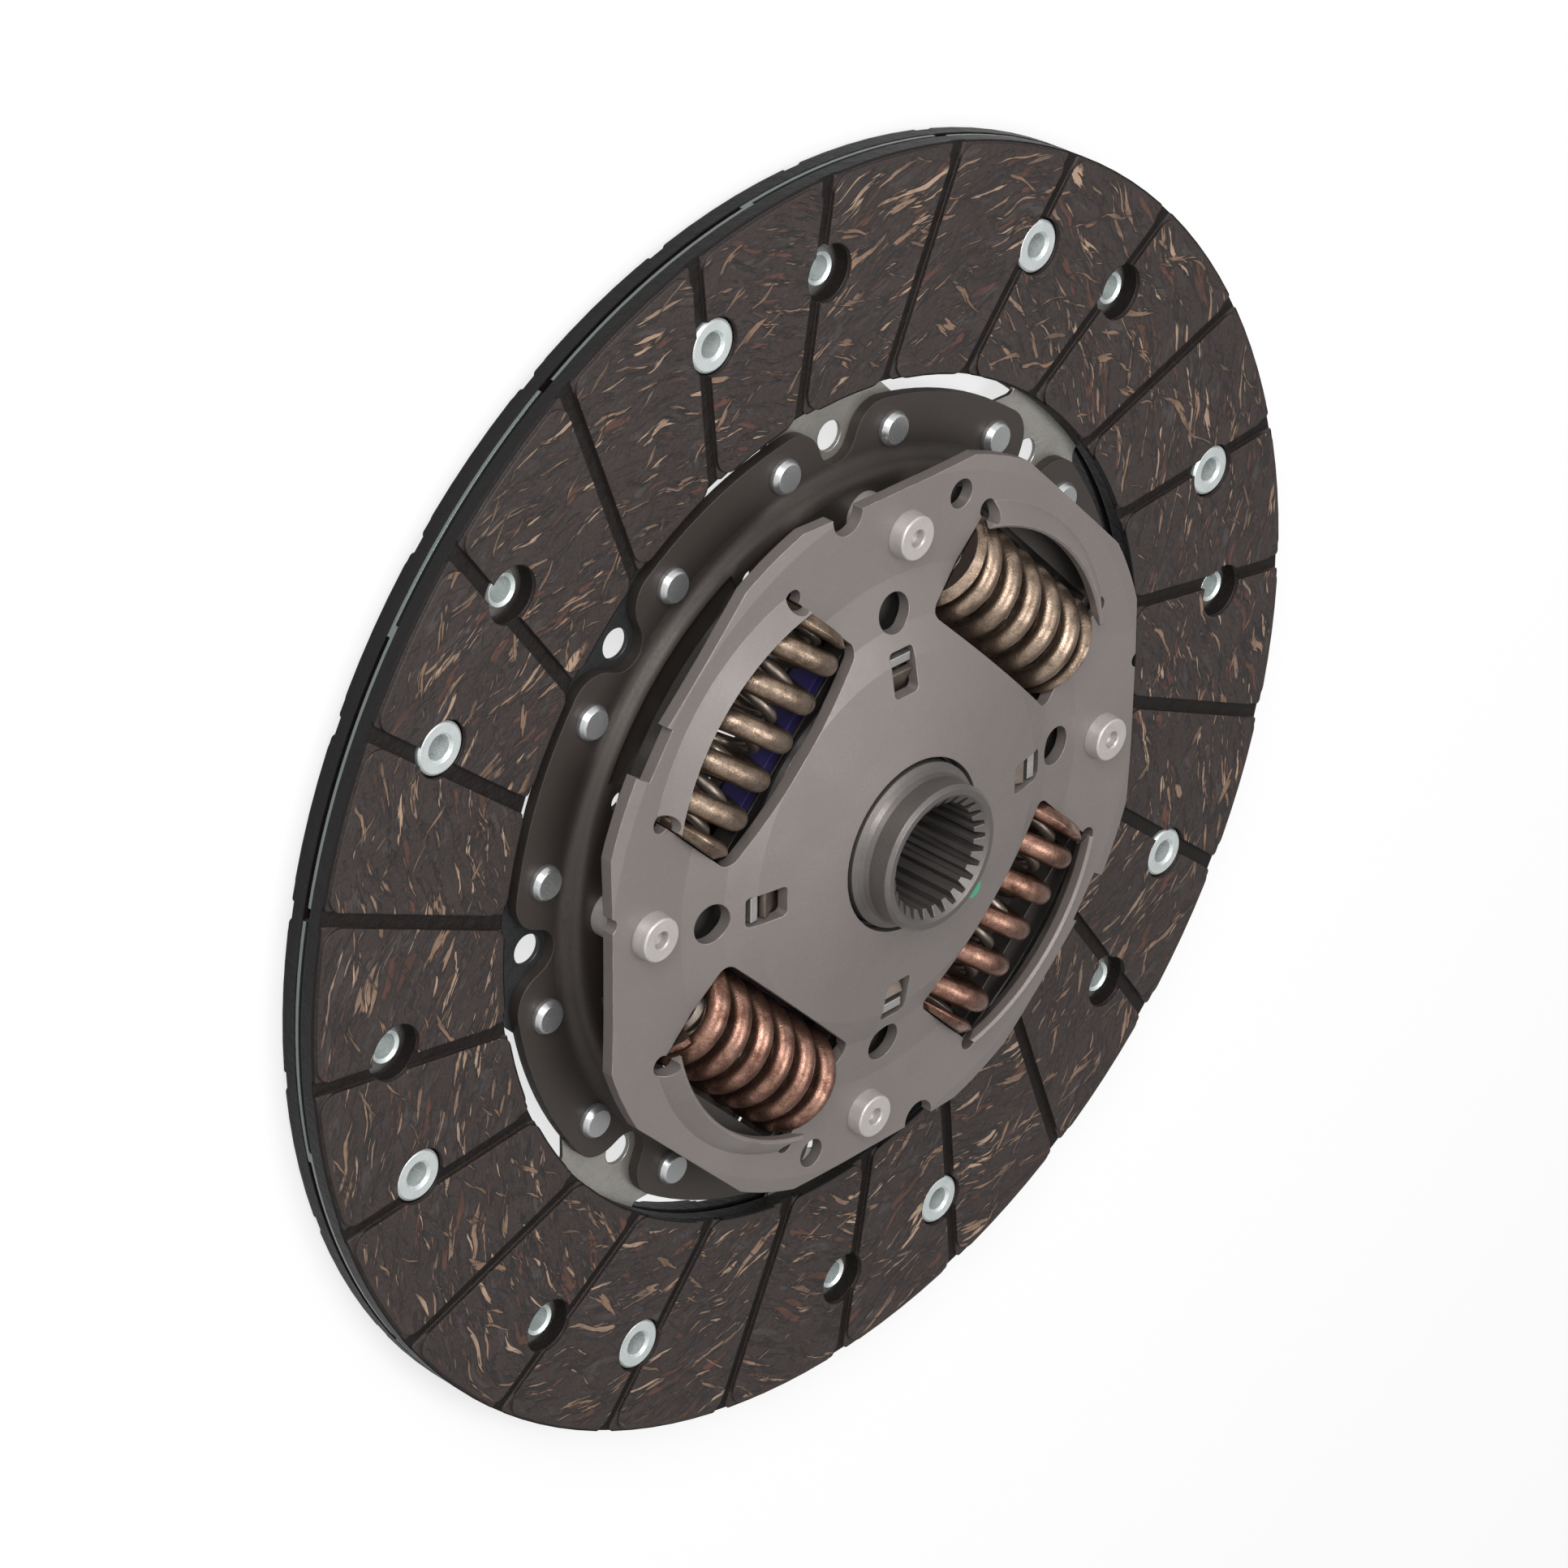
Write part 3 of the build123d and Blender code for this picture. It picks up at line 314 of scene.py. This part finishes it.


# Steel finishes: tones from dark to light, roughness range, edges lighter from rubbing and a painted
# highlight, scratches, and an overlay
def steel(name, dark, light, metallic, rough, edge, edge_tone=(0.7, 0.68, 0.65), grain=0.5 * MM,
          cloud=20 * MM, depth=0.02 * MM, scratch=0.0, rings=0.0, overlay=None):
    material, tree, surface, place = start_material(name)
    marks = use_group(tree, GRAIN, Position=place, Grain=grain, Cloud=cloud)
    rim = use_group(tree, EDGE_WEAR_AND_HIGHLIGHT, Position=place, Width=0.25 * MM)
    shade = marks["Shade"]
    if rings:
        turned = times(tree, turned_rings(tree, place), rings)
        shade = calc(tree, "MULTIPLY_ADD", marks["Shade"], 1.0 - rings, turned)
    colour = blend_colour(tree, shade, dark, light)
    if scratch:
        colour = blend_colour(tree, times(tree, marks["Scratch"], scratch), colour, edge_tone)
    # Lighter edges: partly rubbed wear, partly a painted highlight
    colour = blend_colour(tree, times(tree, rim["Mask"], edge), colour, edge_tone)
    if overlay:
        colour = overlay(tree, place, colour)
    feed(tree, surface["Base Color"], colour)
    feed(tree, surface["Metallic"], metallic)
    feed(tree, surface["Roughness"], ramp(tree, marks["Shade"], 0.0, 1.0, rough[1], rough[0]))
    feed(tree, surface["Normal"], bump(tree, marks["Height"], depth, rim["Normal"]))
    return material


# Moulded plastic with a faint texture
def plastic(name, dark, light, rough):
    material, tree, surface, place = start_material(name)
    marks = use_group(tree, GRAIN, Position=place, Grain=0.9 * MM, Cloud=12 * MM)
    rim = use_group(tree, EDGE_WEAR_AND_HIGHLIGHT, Position=place, Width=0.2 * MM)
    feed(tree, surface["Base Color"], blend_colour(tree, marks["Shade"], dark, light))
    feed(tree, surface["Roughness"], ramp(tree, marks["Height"], 0.3, 0.7, rough * 0.85, rough * 1.15))
    feed(tree, surface["Normal"], bump(tree, marks["Height"], 0.03 * MM, rim["Normal"]))
    return material


# Strokes of yarn, laid one over the other: shape in the group's terms, tone, strength and dark halo
YARNS = {
    "grey": ({"Slant": 0.4, "Along": 140.0, "Across": 420.0, "Shift": 3.0, "From": 0.56, "To": 0.64},
             (0.056, 0.045, 0.044), 0.7, 0.3),
    "rust": ({"Slant": 0.5, "Along": 90.0, "Across": 470.0, "Shift": 11.0, "From": 0.6, "To": 0.64},
             (0.09, 0.036, 0.024), 0.95, 0.6),
    "black": ({"Slant": 0.55, "Along": 150.0, "Across": 600.0, "Shift": 23.0, "From": 0.59, "To": 0.63},
              (0.006, 0.005, 0.0048), 0.75, 0.0),
    "tan": ({"Slant": 0.52, "Along": 82.0, "Across": 620.0, "Shift": 31.0, "From": 0.615, "To": 0.65},
            (0.235, 0.145, 0.097), 1.0, 0.85),
    "pale": ({"Slant": 0.3, "Along": 78.0, "Across": 600.0, "Shift": 47.0, "From": 0.63, "To": 0.66},
             (0.37, 0.25, 0.175), 1.0, 0.85),
    "crossing": ({"Slant": -0.35, "Along": 90.0, "Across": 600.0, "Shift": 59.0, "From": 0.635, "To": 0.665},
                 (0.21, 0.125, 0.08), 0.95, 0.75),
}
HALO_TONE = (0.009, 0.0065, 0.006)


def facing_material():
    material, tree, surface, place = start_material("pressed fibre facing")
    x, y, z = split(tree, place)
    radius = span(tree, x, y)
    height = calc(tree, "ABSOLUTE", minus(tree, z, STACK_MID))

    # Friction face, floor of the grooves, and outer and inner wall
    inside_rim = ramp(tree, radius, *BARE_RIM, 1.0, 0.0)
    outside_bore = ramp(tree, radius, *BARE_BORE)
    on_face = times(tree, ramp(tree, height, *FACE_LEVEL), times(tree, inside_rim, outside_bore))
    groove = ramp(tree, height, *GROOVE_LEVEL, 1.0, 0.0)
    thin, thick = WALL_SKIN
    outer_wall = ramp(tree, radius, FACING_OUTER - thick, FACING_OUTER - thin)
    inner_wall = ramp(tree, radius, FACING_INNER + thin, FACING_INNER + thick, 1.0, 0.0)
    wall = calc(tree, "MAXIMUM", outer_wall, inner_wall)

    # Resin under the yarn
    fine = noise(tree, place, 1500.0, detail=4.0, roughness=0.75)
    broad = noise(tree, place, 120.0, detail=4.0, roughness=0.6)
    grain = ramp(tree, fine, 0.3, 0.7)
    colour = blend_colour(tree, grain, (0.0165, 0.0102, 0.0085), (0.035, 0.0232, 0.0198))
    cloud = times(tree, ramp(tree, broad, 0.45, 0.7), 0.4)
    colour = blend_colour(tree, cloud, colour, (0.046, 0.033, 0.0295))

    uneven = ramp(tree, broad, 0.35, 0.6, 0.45, 1.0)
    masks = {}
    for name, (shape, tone, strength, halo) in YARNS.items():
        yarn = use_group(tree, YARN, Position=place, **shape)
        masks[name] = times(tree, yarn["Mask"], on_face)
        shade = times(tree, times(tree, yarn["Halo"], on_face), halo)
        colour = blend_colour(tree, shade, colour, HALO_TONE)
        colour = blend_colour(tree, times(tree, times(tree, masks[name], uneven), strength), colour, tone)
    colour = blend_colour(tree, times(tree, groove, 0.85), colour, (0.009, 0.0075, 0.007))
    colour = blend_colour(tree, times(tree, wall, 0.9), colour, (0.0075, 0.0066, 0.0066))
    feed(tree, surface["Base Color"], colour)
    shiny = ramp(tree, calc(tree, "MAXIMUM", wall, groove), 0.0, 1.0, 0.45, 0.16)
    feed(tree, surface["Specular IOR Level"], shiny)
    feed(tree, surface["Roughness"], ramp(tree, minus(tree, on_face, wall), 0.0, 1.0, 0.46, 0.6))

    # Threads stand up, black pits lie low, and the grooves are crumbly
    threads = calc(tree, "MAXIMUM", masks["tan"], calc(tree, "MAXIMUM", masks["pale"], masks["crossing"]))
    pits = calc(tree, "MULTIPLY_ADD", masks["black"], -0.8, fine)
    raised = calc(tree, "MULTIPLY_ADD", threads, 0.6, pits)
    crumbs = times(tree, groove, noise(tree, place, 420.0, detail=3.0))
    raised = calc(tree, "MULTIPLY_ADD", crumbs, 3.0, raised)
    rim = use_group(tree, EDGE_WEAR_AND_HIGHLIGHT, Position=place, Width=0.4 * MM)
    feed(tree, surface["Normal"], bump(tree, raised, 0.12 * MM, rim["Normal"]))
    return material


finishes = {
    "facing": facing_material(),
    "zinc_rivet": steel(
        "zinc plated rivets", (0.56, 0.61, 0.6), (0.78, 0.83, 0.82), 0.5, (0.24, 0.38), 0.4,
        edge_tone=(0.9, 0.92, 0.92), grain=0.4 * MM, cloud=4 * MM),
    "drive_plate": steel(
        "oiled drive plate", (0.04, 0.032, 0.028), (0.056, 0.046, 0.04), 0.4, (0.42, 0.54), 0.25,
        edge_tone=(0.16, 0.145, 0.135), cloud=30 * MM),
    "steel_rivet": steel(
        "set rivet heads", (0.46, 0.465, 0.47), (0.6, 0.605, 0.61), 0.85, (0.24, 0.32), 0.3,
        grain=0.6 * MM, cloud=12 * MM, depth=0.002 * MM, rings=0.75),
    "retainer": steel(
        "satin retainer plate", (0.19, 0.166, 0.157), (0.23, 0.203, 0.193), 0.35, (0.42, 0.52), 0.55,
        edge_tone=(0.52, 0.48, 0.45), grain=0.45 * MM, cloud=25 * MM, scratch=0.05,
        overlay=paint_dot),
    "segment_steel": steel(
        "spring steel segments", (0.34, 0.325, 0.3), (0.56, 0.54, 0.5), 0.8, (0.26, 0.38), 0.3,
        scratch=0.5, cloud=10 * MM, overlay=segment_shade_and_rim),
    "stop_steel": steel(
        "stop rivets", (0.46, 0.43, 0.41), (0.6, 0.565, 0.54), 0.5, (0.34, 0.46), 0.5,
        edge_tone=(0.75, 0.7, 0.68), cloud=6 * MM),
    "dark_steel": steel(
        "dark inner steel", (0.05, 0.045, 0.042), (0.085, 0.078, 0.073), 0.6, (0.36, 0.5), 0.2,
        edge_tone=(0.2, 0.18, 0.17)),
    "hub_steel": steel(
        "machined hub", (0.115, 0.104, 0.098), (0.165, 0.15, 0.142), 0.6, (0.34, 0.46), 0.45,
        edge_tone=(0.36, 0.33, 0.31), grain=0.4 * MM, cloud=15 * MM),
    "blue_plastic": plastic("blue moulded cage", (0.03, 0.024, 0.13), (0.05, 0.04, 0.2), 0.4),
    "friction_plastic": plastic("dark friction rings", (0.02, 0.018, 0.018), (0.045, 0.04, 0.038), 0.5),
    "bright_steel": steel(
        "bright tongues", (0.4, 0.385, 0.37), (0.62, 0.6, 0.575), 0.85, (0.28, 0.4), 0.5,
        edge_tone=(0.85, 0.82, 0.78), scratch=0.4, cloud=4 * MM),
    "spring_steel": steel(
        "dark spring steel", (0.16, 0.13, 0.11), (0.26, 0.215, 0.18), 0.8, (0.3, 0.42), 0.2,
        grain=0.6 * MM, cloud=5 * MM),
    "bronze_spring": steel(
        "bronze tinted springs", (0.1, 0.07, 0.05), (0.38, 0.285, 0.215), 0.9, (0.25, 0.4), 0.25,
        edge_tone=(0.6, 0.52, 0.42), grain=0.35 * MM, cloud=3.5 * MM, depth=0.05 * MM,
        overlay=ground_ends),
    "copper_spring": steel(
        "copper tinted springs", (0.09, 0.041, 0.028), (0.37, 0.212, 0.158), 0.9, (0.25, 0.4), 0.25,
        edge_tone=(0.55, 0.42, 0.33), grain=0.35 * MM, cloud=3.5 * MM, depth=0.05 * MM,
        overlay=ground_ends),
}
slot_of = {entry["node"]: entry["material_slot"] for entry in frame["record"]["subparts"]}
for name, cad in nodes.items():
    cad.data.materials.clear()
    cad.data.materials.append(finishes[slot_of[name]])

BEVEL_SHARE = 0.42
SHARP_EDGE = 0.5


# Geometry nodes that wind one coil spring along Z, with closed and ground ends
def build_coil_tree():
    tree = bpy.data.node_groups.new("coil spring", "GeometryNodeTree")
    for label, value in OUTER_COIL.items():
        kind = "NodeSocketInt" if isinstance(value, int) else "NodeSocketFloat"
        tree.interface.new_socket(label, in_out="INPUT", socket_type=kind).default_value = value
    tree.interface.new_socket("Finish", in_out="INPUT", socket_type="NodeSocketMaterial")
    tree.interface.new_socket("Geometry", in_out="OUTPUT", socket_type="NodeSocketGeometry")
    given = tree.nodes.new("NodeGroupInput").outputs
    length, mean_r, wire = given["Length"], given["Mean Radius"], given["Wire"]
    turns, closed = given["Turns"], given["Closed Turns"]

    # Rise of the wire: wire on wire over the closed turns, and evenly between them
    ring = {"Resolution": given["Steps"], "Rotations": turns, "Start Radius": mean_r, "End Radius": mean_r,
            "Height": 0.0}
    spiral = put(tree, "GeometryNodeCurveSpiral", ring)
    turn = times(tree, put(tree, "GeometryNodeSplineParameter").outputs["Factor"], turns)
    rise = times(tree, wire, closed)
    low = times(tree, rise, calc(tree, "DIVIDE", turn, closed, clamp=True))
    open_turns = minus(tree, turns, times(tree, closed, 2.0))
    middle = calc(tree, "DIVIDE", minus(tree, turn, closed), open_turns, clamp=True)
    past = minus(tree, turn, minus(tree, turns, closed))
    high = times(tree, rise, calc(tree, "DIVIDE", past, closed, clamp=True))
    path = calc(tree, "MULTIPLY_ADD", wire, 0.5, length)
    open_rise = minus(tree, path, times(tree, rise, 2.0))
    level = plus(tree, calc(tree, "MULTIPLY_ADD", middle, open_rise, low), high)
    level = minus(tree, level, times(tree, path, 0.5))
    x, y, _ = split(tree, put(tree, "GeometryNodeInputPosition").outputs[0])
    lifted = join(tree, x, times(tree, y, given["Hand"]), level)
    laid = put(tree, "GeometryNodeSetPosition", {"Geometry": spiral.outputs[0], "Position": lifted})
    section = put(tree, "GeometryNodeCurvePrimitiveCircle",
                  {"Resolution": given["Sides"], "Radius": times(tree, wire, 0.5)})
    rod = put(tree, "GeometryNodeCurveToMesh",
              {"Curve": laid.outputs[0], "Profile Curve": section.outputs[0], "Fill Caps": True})

    # Ends ground flat, with a bevel round the outside
    x, y, z = split(tree, put(tree, "GeometryNodeInputPosition").outputs[0])
    half = times(tree, length, 0.5)
    flat = calc(tree, "MAXIMUM", calc(tree, "MINIMUM", z, half), times(tree, half, -1.0))
    outside = calc(tree, "MULTIPLY_ADD", wire, 0.5 - BEVEL_SHARE, mean_r)
    limit = plus(tree, outside, minus(tree, half, calc(tree, "ABSOLUTE", flat)))
    inward = calc(tree, "MINIMUM", calc(tree, "DIVIDE", limit, span(tree, x, y)), 1.0)
    ground = join(tree, times(tree, x, inward), times(tree, y, inward), flat)
    cut = put(tree, "GeometryNodeSetPosition", {"Geometry": rod.outputs[0], "Position": ground})

    # Smooth wire with sharp edges round the ground faces
    smooth = put(tree, "GeometryNodeSetShadeSmooth", {"Geometry": cut.outputs[0], "Shade Smooth": True})
    bent = put(tree, "GeometryNodeInputMeshEdgeAngle").outputs[0]
    sharp = put(tree, "FunctionNodeCompare", {0: bent, 1: SHARP_EDGE}, operation="GREATER_THAN").outputs[0]
    crisp = put(tree, "GeometryNodeSetShadeSmooth",
                {"Geometry": smooth.outputs[0], "Selection": sharp, "Shade Smooth": False}, domain="EDGE")
    real = put(tree, "GeometryNodeRealizeInstances", {"Geometry": crisp.outputs[0]})
    dressed = put(tree, "GeometryNodeSetMaterial",
                  {"Geometry": real.outputs[0], "Material": given["Finish"]})
    put(tree, "NodeGroupOutput", {0: dressed.outputs[0]})
    return tree


COIL = build_coil_tree()


def wind(name, place, finish, sizes):
    seat = bpy.data.objects.new(name + "_seat", bpy.data.meshes.new(name + "_seat"))
    scene.collection.objects.link(seat)
    modifier = seat.modifiers.new("coil", "NODES")
    modifier.node_group = COIL
    values = {**sizes, "Finish": finishes[finish]}
    for item in COIL.interface.items_tree:
        if item.in_out == "INPUT":
            modifier[item.identifier] = values[item.name]
    bpy.context.view_layer.update()
    wound = seat.evaluated_get(bpy.context.evaluated_depsgraph_get())
    mesh = bpy.data.meshes.new_from_object(wound)
    mesh.transform(place)
    if place.determinant() * sizes["Hand"] < 0:
        mesh.flip_normals()
    piece = bpy.data.objects.new(name, mesh)
    scene.collection.objects.link(piece)
    bpy.data.objects.remove(seat)
    return piece


# Lays a coil along the circle of springs, turned about its own axis by the phase
def spring_place(angle, radius, height, phase):
    turn = Matrix.Rotation(radians(angle), 4, "Z")
    lay = Matrix.Rotation(radians(-90), 4, "X")
    return turn @ Matrix.Translation((radius, 0, height)) @ lay @ Matrix.Rotation(radians(phase), 4, "Z")


def seat_spring(piece, node, body, joint, angle, radius, height, keep):
    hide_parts(node)
    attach(piece, body)
    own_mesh(piece)


# Phases turn each wire's cut end to where the photograph shows it
OUTER_PHASES = (128, 168, -60, 168)
OUTER_FINISHES = ("bronze_spring", "bronze_spring", "copper_spring", "copper_spring")
INNER_PHASE, IDLE_PHASE = 90, 0
MAIN_KEEP, IDLE_KEEP = 0.62, 0.72
for k in range(4):
    spot = (FIRST_SPRING_DEG + SPRING_PITCH_DEG * k, SPRING_R, SPRING_Z)
    laid = spring_place(*spot, OUTER_PHASES[k])
    outer = wind(f"damper_spring_{k + 1}", laid, OUTER_FINISHES[k], OUTER_COIL)
    seat_spring(outer, f"outer_spring_{k + 1}", "plates", "main_damper", *spot, MAIN_KEEP)
    inner = wind(f"core_spring_{k + 1}", spring_place(*spot, INNER_PHASE), "spring_steel", INNER_COIL)
    seat_spring(inner, f"inner_spring_{k + 1}", "plates", "main_damper", *spot, MAIN_KEEP)
    idle_spot = (SPRING_PITCH_DEG * k, IDLE_R, IDLE_Z)
    small = wind(f"idle_coil_{k + 1}", spring_place(*idle_spot, IDLE_PHASE), "spring_steel", IDLE_COIL)
    seat_spring(small, f"idle_spring_{k + 1}", "flange", "idle_damper", *idle_spot, IDLE_KEEP)


# Pale floor that stays white where it is lit and keeps the shadow
def floor_material():
    material = bpy.data.materials.new("studio floor")
    tree = new_tree(material)
    cloud = noise(tree, put(tree, "ShaderNodeTexCoord").outputs["Object"], 3.0)
    tone = blend_colour(tree, cloud, (0.9, 0.9, 0.9), (0.93, 0.93, 0.93))
    matt = put(tree, "ShaderNodeBsdfDiffuse", {"Color": tone})
    glow = put(tree, "ShaderNodeEmission", {"Color": (1, 1, 1, 1), "Strength": 1.0})
    path = put(tree, "ShaderNodeLightPath").outputs
    seen = calc(tree, "MAXIMUM", path["Is Camera Ray"], path["Is Glossy Ray"])
    share = calc(tree, "MULTIPLY_ADD", path["Is Camera Ray"], 0.5, times(tree, seen, 0.22))
    mix = put(tree, "ShaderNodeMixShader", {0: share, 1: matt.outputs[0], 2: glow.outputs[0]})
    put(tree, "ShaderNodeOutputMaterial", {0: mix.outputs[0]})
    return material


FLOOR_HALF, FLOOR_Z = 6.0, -0.2 * MM
corners = [(x * FLOOR_HALF, y * FLOOR_HALF, FLOOR_Z) for x, y in ((-1, -1), (1, -1), (1, 1), (-1, 1))]
floor_mesh = bpy.data.meshes.new("floor")
floor_mesh.from_pydata(corners, [], [(0, 1, 2, 3)])
floor_mesh.materials.append(floor_material())
floor = bpy.data.objects.new("floor", floor_mesh)
scene.collection.objects.link(floor)

# World: white to the camera, softer as light, and brighter mirrored from behind the camera's left
BRIGHT_SIDE = (-0.5, 0.66, 0.56)
scene.world = bpy.data.worlds.new("studio")
tree = new_tree(scene.world)
path = put(tree, "ShaderNodeLightPath").outputs
clear = calc(tree, "MAXIMUM", path["Is Glossy Ray"], path["Is Transmission Ray"])
seen = calc(tree, "MAXIMUM", path["Is Camera Ray"], clear)
way = put(tree, "ShaderNodeTexCoord").outputs["Generated"]
mirrored = ramp(tree, measure(tree, "DOT_PRODUCT", way, BRIGHT_SIDE), -0.5, 0.8, 0.3, 1.15)
glossy = put(tree, "ShaderNodeMix", {0: path["Is Glossy Ray"], 2: 1.0, 3: mirrored}).outputs[0]
strength = times(tree, ramp(tree, seen, 0.0, 1.0, 0.45, 1.0), glossy)
back = put(tree, "ShaderNodeBackground", {"Color": (1, 1, 1, 1), "Strength": strength})
put(tree, "ShaderNodeOutputWorld", {0: back.outputs[0]})


def soft_box(name, spot, size, power, aim=(0, 0, 10 * MM)):
    lamp = bpy.data.lights.new(name, "AREA")
    lamp.shape = "RECTANGLE"
    lamp.size = lamp.size_y = size
    lamp.energy = power
    holder = bpy.data.objects.new(name, lamp)
    holder.location = spot
    holder.rotation_euler = (Vector(aim) - Vector(spot)).to_track_quat("-Z", "Y").to_euler()
    scene.collection.objects.link(holder)


soft_box("key", (-0.55, 0.75, 0.55), 0.5, 7.0)
soft_box("top", (0.1, 0.1, 0.9), 0.5, 4.0)

# Camera solved from the rivet circles
right = Vector((0.70023, 0.01245, 0.71381))
up = Vector((0.35189, 0.86393, -0.36026))
backward = Vector((-0.62117, 0.50345, 0.60057))
camera = bpy.data.objects.new("camera", bpy.data.cameras.new("camera"))
camera.data.sensor_width = 36.0
camera.data.lens = 119.52
camera.data.clip_start = 10 * MM
turned = Matrix((right, up, backward)).transposed().to_4x4()
camera.matrix_world = Matrix.Translation((-0.5397, 0.4366, 0.5177)) @ turned
scene.collection.objects.link(camera)
scene.camera = camera
